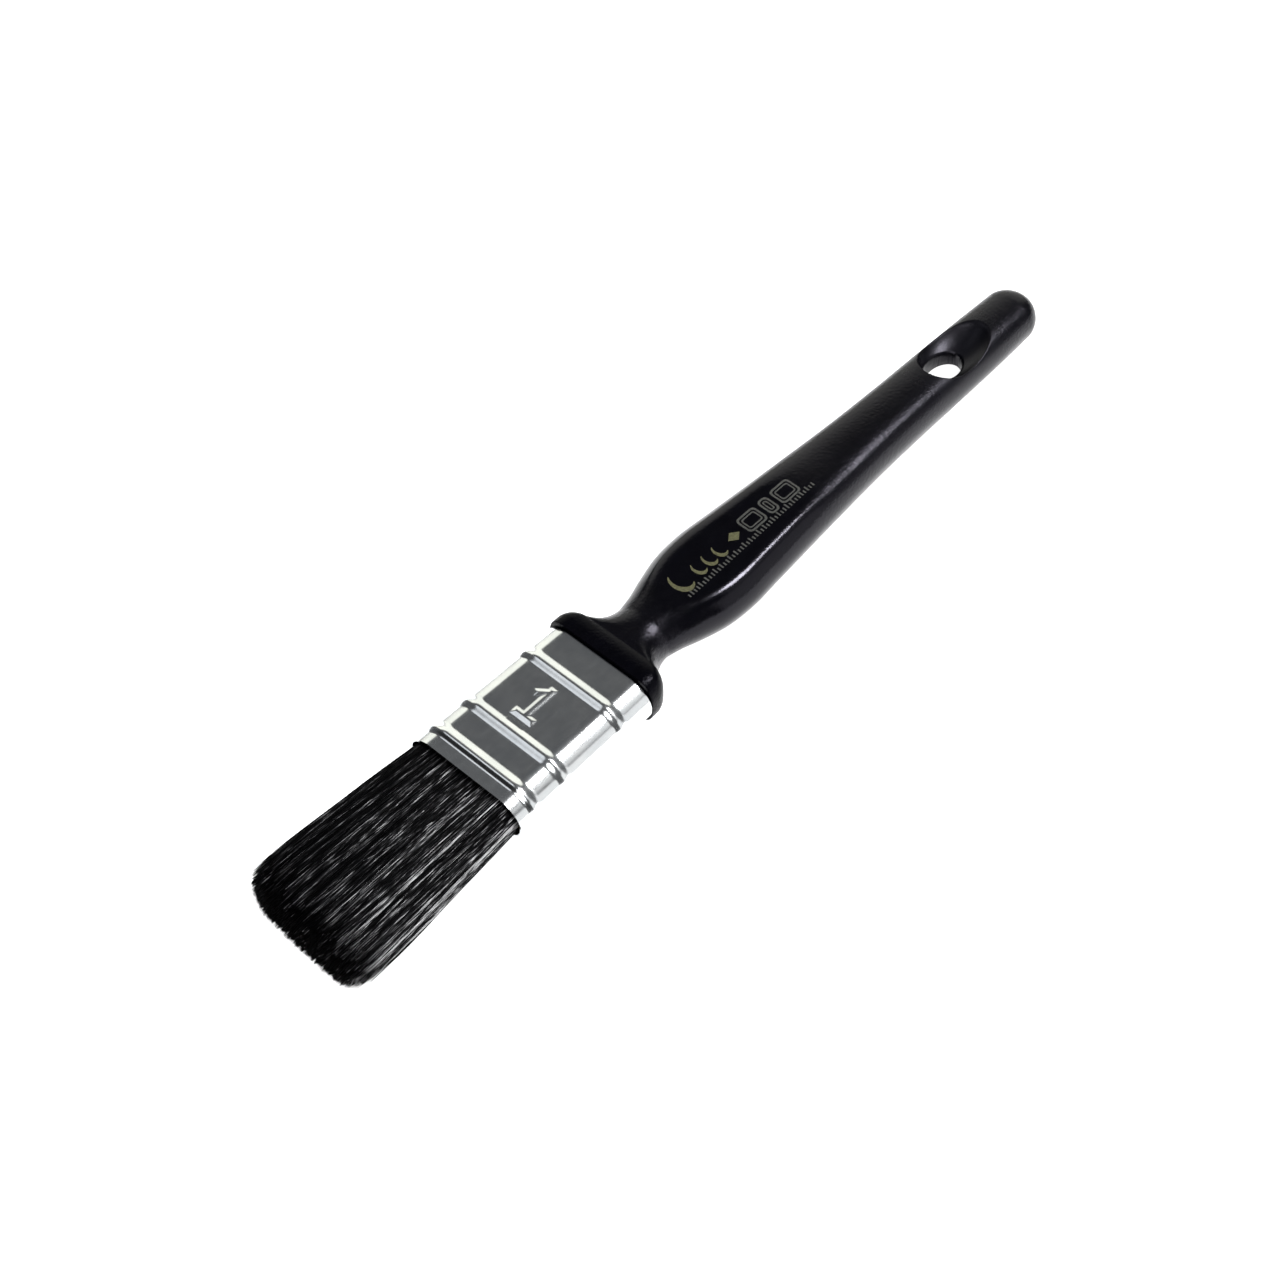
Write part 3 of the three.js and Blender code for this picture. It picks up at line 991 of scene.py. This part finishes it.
def build_print():
    """A generic printed ornament: curls, a lozenge, outlined blocks and a hatched rule."""
    gold = ink("ink_gold", (0.1, 0.098, 0.04), (0.04, 0.04, 0.015))
    grey = ink("ink_grey", (0.055, 0.057, 0.05), (0.02, 0.021, 0.02))
    curls = [curl(**LARGE_CURL)]
    for i in range(SMALL_CURLS):
        curls.append(curl(**{**SMALL_CURL, "y": SMALL_CURL["y"] + SMALL_CURL_PITCH * i}))
    blocks = []
    for y0, y1 in BLOCK_SPANS:
        for inset, stroke in BLOCK_OUTLINES:
            blocks.append(outlined_block(y0, y1, inset, stroke))
    joined_print("print_gold", curls + [lozenge()], gold)
    joined_print("print_grey", blocks + hatched_rule(), grey)


# --- Bristles ---


def pack_surface(y, v):
    """Half width at a share v of the half thickness, and the half thickness, at some distances."""
    half_width, half_thickness = curve_through(PACK, y).T
    left = np.maximum(1 - np.abs(v) ** PACK_SQUARENESS, 0) ** (1 / PACK_SQUARENESS)
    pulled_in = half_width * PACK_BULGE_SHARE * (1 - left)
    return half_width - pulled_in, half_thickness


def pack_sizes(y, v):
    """The same for points in rows, one row to a bristle."""
    width, thickness = pack_surface(y.ravel(), v.ravel())
    return width.reshape(y.shape), thickness.reshape(y.shape)


def tubes(x, y, z, radius, turn):
    """Three-sided tubes along centre lines that are the rows of x, y and z."""
    count, steps = x.shape
    points = np.empty((count, steps, 3, 3))
    for corner in range(3):
        angle = (turn + corner * 2 * math.pi / 3)[:, None]
        points[:, :, corner, 0] = x + radius * np.cos(angle)
        points[:, :, corner, 1] = y
        points[:, :, corner, 2] = z + radius * np.sin(angle)
    first = np.arange(count) * steps * 3
    last = first + (steps - 1) * 3
    base = first[:, None, None] + (np.arange(steps - 1) * 3)[None, :, None]
    corner = np.arange(3)[None, None, :]
    following = (corner + 1) % 3
    here, there = (base + corner, base + following), (base + 3 + following, base + 3 + corner)
    quads = np.stack([*here, *there], -1)
    caps = np.concatenate([first[:, None] + [2, 1, 0], last[:, None] + [0, 1, 2]])
    return points.reshape(-1, 3), quads.reshape(-1, 4).tolist() + caps.tolist()


def column(rng, low, high, count):
    """One random number between two values for each bristle, as a column."""
    return rng.uniform(low, high, count)[:, None]


def tip_drop(u, v):
    """How much shorter a bristle is, at a place in the section, than one in the middle."""
    at_sides = TIP_DROP["sides"] * np.abs(u) ** TIP_DROP["side_power"]
    at_faces = TIP_DROP["faces"] * np.abs(v) ** TIP_DROP["face_power"]
    return at_sides + at_faces - TIP_DROP["slant"] * u


def filaments(rng, tufts, u, v, start, steps, lean):
    """Tapered bristles at shares u and v of the section, gathered into tufts at their tips."""
    count = len(u)
    apart_u = tufts["u"][None] - u[:, None]
    apart_v = TUFT_DEPTH_WEIGHT * (tufts["v"][None] - v[:, None])
    own = np.argmin(apart_u**2 + apart_v**2, 1)  # the tuft that each bristle belongs to
    end = -REACH + tip_drop(u, v) + tufts["short"][own]
    end = end + np.abs(rng.normal(0, TIP_RAGGEDNESS, count))
    t = np.linspace(0, 1, steps)[None, :]
    y = start + (end - start)[:, None] * t
    share = np.maximum(-y / REACH, 0)
    gather = TUFT_GATHER["share"] * smooth_step(TUFT_GATHER["start"], 1.0, share)
    u_here = u[:, None] + (tufts["u"][own] - u)[:, None] * gather
    v_here = v[:, None] + (tufts["v"][own] - v)[:, None] * gather
    width, thickness = pack_sizes(y, v_here)
    phase = column(rng, 0, 2 * math.pi, count)
    wave = phase + y * (2 * math.pi / column(rng, *WAVE["length"], count))
    ripple = column(rng, *WAVE["size"], count) * share ** WAVE["growth"]
    shift = TIP_SHIFT["size"] * share ** TIP_SHIFT["power"]
    x = u_here * width + ripple * np.sin(wave) + shift
    z = v_here * thickness + WAVE["depth_share"] * ripple * np.cos(wave)
    x = x + (rng.normal(0, lean, count) + tufts["lean"][own])[:, None] * share
    z = z + rng.normal(0, lean * LEAN_DEPTH_SHARE, count)[:, None] * share
    z = np.clip(z, FLAT_GAP - FLAT, FLAT - FLAT_GAP)
    thinner = FILAMENT["tapered"] * smooth_step(FILAMENT["taper_start"], 1.0, t)
    radius = column(rng, *FILAMENT["radius"], count) * (1 - thinner)
    points, faces = tubes(x, y, z, radius, rng.uniform(0, 2 * math.pi, count))
    # Painted light: each bristle's glint level, from its tuft, rising across the pack, fading at
    # the tips
    slope = PAINTED_LIGHT_SLOPE["rise"] * np.clip(u, -1, PAINTED_LIGHT_SLOPE["limit"])
    painted_glint_level = tufts["painted_glint_level"][own] + rng.normal(0, PAINTED_GLINT_SPREAD, count) + slope
    fall = PAINTED_GLINT_TIP_FADE["fall"] * smooth_step(PAINTED_GLINT_TIP_FADE["start"], 1.0, share)
    return points, faces, np.repeat(np.clip(painted_glint_level[:, None] - fall, 0, 1), 3, axis=1).ravel()


def loose_hairs(rng, side):
    """A few stray bristles that lie across the pack's face, or stand off its edges."""
    count, steps = LOOSE["count"], LOOSE["rings"]
    u = column(rng, -LOOSE["span"], LOOSE["span"], count)
    start = column(rng, *LOOSE["start"], count)
    end = column(rng, *LOOSE["end"], count)
    t = np.linspace(0, 1, steps)[None, :]
    y = start + (end - start) * t
    width, thickness = pack_sizes(y, np.full(y.shape, LOOSE["depth"]))
    drift = rng.normal(0, LOOSE["drift"], count)[:, None] * t * (1 + LOOSE["drift_growth"] * t)
    limit = width + LOOSE["overhang"]
    x = np.clip(u * width + drift, -limit, limit)
    across = np.clip(np.abs(x) / limit, 0, 1)
    lift = thickness * (1 - across**4) ** 0.5 + LOOSE["lift"]
    z = side * np.minimum(lift, FLAT - LOOSE["flat_gap"])
    thinner = LOOSE["tapered"] * smooth_step(LOOSE["taper_start"], 1.0, t)
    radius = LOOSE["radius"] * (1 - thinner) * np.ones_like(y)
    points, faces = tubes(x, y, z, radius, rng.uniform(0, 2 * math.pi, count))
    # Each stray bristle's painted glint level
    return points, faces, np.repeat(rng.uniform(*LOOSE["painted_glint_level"], count), steps * 3)


def section_points(rng, count, inner, outer):
    """Random places in the pack's section, within a span of depths."""
    found = []
    while sum(len(f) for f in found) < count:
        u, v = rng.uniform(-1, 1, (2, count * 2))
        depth = np.maximum(np.abs(u), np.abs(v))
        keep = (depth >= inner) & (depth <= outer)
        found.append(np.stack([u[keep], v[keep]], 1))
    both = np.concatenate(found)[:count]
    return both[:, 0], both[:, 1]


def add_filaments(name, made, stands_for, material):
    """A piece of bristles, with each one's painted glint level kept in its mesh for the material.
    """
    points, faces, painted_glint_levels = made
    piece = add_piece(name, points, faces, material, "bristle", stands_for)
    attribute = piece.data.attributes.new("painted_glint_level", "FLOAT", "POINT")
    attribute.data.foreach_set("value", painted_glint_levels.astype(np.float32))


def merged(groups):
    """Groups of bristles as one: points, faces and painted glint levels."""
    points, faces = joined([(points, faces) for points, faces, _ in groups])
    return points, faces, np.concatenate([painted_glint_levels for _, _, painted_glint_levels in groups])


def make_tufts(rng):
    """Random tufts: place in the section, lean, how much shorter they are, and painted glint level.
    """
    count = TUFTS["count"]
    return {
        "u": rng.uniform(-1, 1, count),
        "v": rng.uniform(-1, 1, count),
        "lean": rng.normal(0, TUFTS["lean"], count),
        "short": np.abs(rng.normal(0, TUFTS["short"], count)),
        "painted_glint_level": rng.normal(*TUFTS["painted_glint_level"], count),
    }


def build_half_pack(rng, side, material):
    """The bristles on one side of the middle plane: side is 1 in front and -1 behind."""
    tufts = make_tufts(rng)
    groups = []
    for total, inner, outer, start, steps, lean in LAYERS:
        u, v = section_points(rng, total, inner, outer)
        u, v = u[v * side > 0], v[v * side > 0]
        groups.append(filaments(rng, tufts, u, v, start, steps, lean))
    groups.append(loose_hairs(rng, side))
    name = "front" if side > 0 else "back"
    add_filaments("bristles_" + name, merged(groups), ["bristle_pack_" + name], material)


def build_pack_depth():
    """A dark ribbed core, so that no light shows through the pack."""
    tip_end = CORE["span"][0]
    found = []
    for y in np.linspace(*CORE["span"], CORE["rings"]):
        half_width, half_thickness = curve_through(PACK, [y])[0]
        inset = CORE["inset"] - CORE["mouth_gain"] * smooth_step(*CORE["mouth_span"], y)
        end = 1 - CORE["end_shrink"] * smooth_step(tip_end + CORE["end_length"], tip_end, y)
        section = ring(
            (half_width - inset) * end,
            (half_thickness - inset) * end,
            half_width * PACK_BULGE_SHARE,
            PACK_SQUARENESS,
            CORE["flat_points"],
            CORE["side_points"],
        )
        found.append(ring_at(section, y))
    points, faces = skin(found)
    add_piece("bristle_depth", points, faces, pack_shadow(), "bristle")


def build_bristles():
    rng = np.random.default_rng(SEED)
    material = black_filament_painted_glints()
    build_pack_depth()
    for side in (1, -1):
        build_half_pack(rng, side, material)


# --- Pins and hidden parts ---


def build_pins():
    """Domed nail heads on the back, each seated in its dimple."""
    steel = plain_steel()
    for name, place_of_pin in zip(("left", "right"), PINS):
        rings = [
            level_oval(*place_of_pin, radius, radius, height - HALF_THICKNESS, NAIL_POINTS)
            for radius, height in NAIL_PROFILE
        ]
        add_piece("pin_" + name, *skin(rings), steel, "pin", ["ferrule_pin_" + name])


def finish_hidden_parts():
    """Materials for the CAD pieces that stay as they are."""
    for node, material in (("resin_setting", amber_resin()), ("reservoir_plug", soft_wood())):
        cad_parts[node].data.materials.clear()
        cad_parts[node].data.materials.append(material)


# --- Studio ---


def direction(azimuth, elevation):
    """Unit vector from the brush: azimuth 0 towards -Y, 90 towards +X."""
    a, e = math.radians(azimuth), math.radians(elevation)
    return Vector((math.sin(a) * math.cos(e), -math.cos(a) * math.cos(e), math.sin(e)))


def add_facing(name, data, aim, azimuth, elevation, distance):
    """A light or camera at a distance from a place, turned to face it."""
    made = new_object(name, data)
    toward = direction(azimuth, elevation)
    made.location = Vector(aim) + toward * distance
    made.rotation_mode = "QUATERNION"
    made.rotation_quaternion = toward.to_track_quat("Z", "Y")
    return made


def add_light(name, azimuth, elevation, distance, size, radiance, colour):
    data = bpy.data.lights.new(name, "AREA")
    data.shape = "RECTANGLE"
    data.size, data.size_y = size
    data.energy = radiance * math.pi * size[0] * size[1]
    data.color = colour
    add_facing(name, data, (0, 0, 0), azimuth, elevation, distance)


def build_world():
    """A dim studio, darkest beyond the bristle tips. The camera alone sees a white backdrop."""
    world = bpy.data.worlds.new("studio")
    bpy.context.scene.world = world
    world.use_nodes = True
    tree = world.node_tree
    add, link = tree.nodes.new, tree.links.new
    toward = add("ShaderNodeSeparateXYZ")
    link(add("ShaderNodeTexCoord").outputs["Generated"], toward.inputs[0])
    level = add("ShaderNodeMapRange")
    level.inputs["From Min"].default_value = DARK_END["from"]
    level.inputs["From Max"].default_value = DARK_END["to"]
    level.inputs["To Min"].default_value = STUDIO_LEVEL * DARK_END["share"]
    level.inputs["To Max"].default_value = STUDIO_LEVEL
    link(toward.outputs["Y"], level.inputs["Value"])
    dim = tree.nodes["Background"]
    dim.inputs["Color"].default_value = (0.98, 1.0, 1.04, 1)
    link(level.outputs["Result"], dim.inputs["Strength"])
    backdrop = add("ShaderNodeBackground")
    backdrop.inputs["Color"].default_value = (1, 1, 1, 1)
    ray = add("ShaderNodeLightPath")
    mix = add("ShaderNodeMixShader")
    link(ray.outputs["Is Camera Ray"], mix.inputs["Fac"])
    link(dim.outputs["Background"], mix.inputs[1])
    link(backdrop.outputs["Background"], mix.inputs[2])
    link(mix.outputs["Shader"], tree.nodes["World Output"].inputs["Surface"])


def build_floor():
    """A table that glows nearly as white as the backdrop, so that shadows on it stay faint."""
    turns = ((-1, -1), (1, -1), (1, 1), (-1, 1))
    corners = [(x * FLOOR_HALF, y * FLOOR_HALF, 0) for x, y in turns]
    floor = mesh_object("floor", corners, [[0, 1, 2, 3]])
    n = Nodes("pale_floor")
    n.set(
        base_color=n.mottled((60, 60, 60), (0.78, 0.78, 0.78), (0.8, 0.8, 0.8)),
        roughness=0.9,
        specular_ior_level=0.1,
        emission_color=(1, 1, 1, 1),
        emission_strength=FLOOR_GLOW,
    )
    floor.data.materials.append(n.material)


def build_lights():
    """A key light, dim panels for the plated sheet to mirror, and a small lamp for the gloss."""
    for light in LIGHTS:
        add_light(*light)


def build_camera():
    """The view from over the tips' right side, down on the front face."""
    data = bpy.data.cameras.new("camera")
    data.sensor_width = CAMERA["sensor"]
    data.lens = CAMERA["lens"]
    data.clip_start, data.clip_end = CAMERA["clip"]
    places = (CAMERA["aim"], CAMERA["azimuth"], CAMERA["elevation"], CAMERA["distance"])
    bpy.context.scene.camera = add_facing("camera", data, *places)


def set_look():
    view = bpy.context.scene.view_settings
    view.view_transform = "Standard"
    view.look = "None"
    view.exposure = 0.0


build_camera()
build_ferrule()
build_handle()
build_print()
build_bristles()
build_pins()
finish_hidden_parts()
build_floor()
build_world()
build_lights()
set_look()
